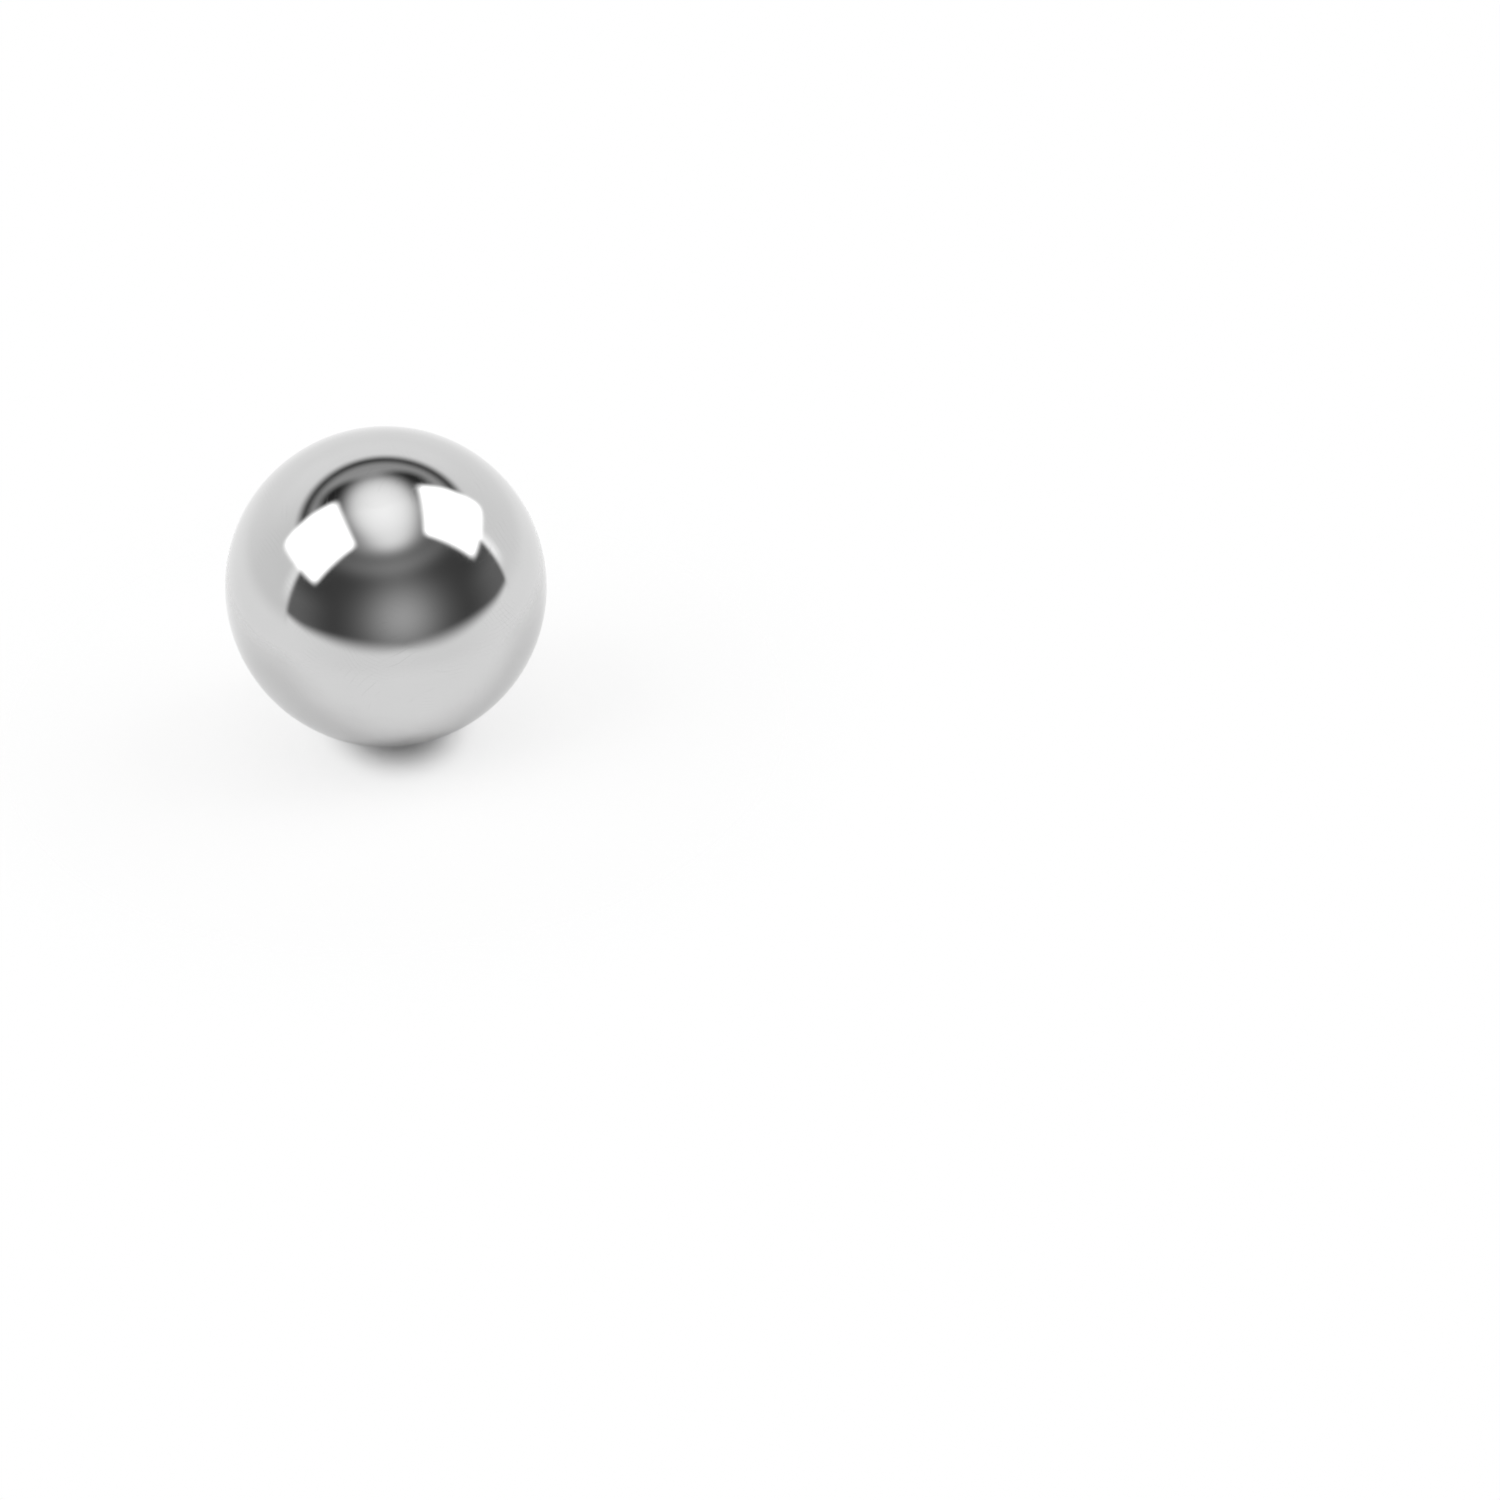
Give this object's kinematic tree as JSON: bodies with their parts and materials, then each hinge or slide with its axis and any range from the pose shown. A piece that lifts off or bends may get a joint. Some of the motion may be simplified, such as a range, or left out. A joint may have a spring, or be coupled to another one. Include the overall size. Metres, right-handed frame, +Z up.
{
  "type": "steel ball",
  "caption": "Plain polished solid steel sphere that rolls, locates, detents or seats in a cup, cone or bore.",
  "frame": {"origin": "centre of the ball", "axes": "+Z up, straight away from the seat that holds the ball; X and Y are any two directions square to it, because a ball has no front"},
  "size_m": [0.0126, 0.0126, 0.0126],
  "materials": {
    "polished_steel": "polished"
  },
  "bodies": {
    "root": {"ball": "polished_steel"}
  },
  "joints": []
}
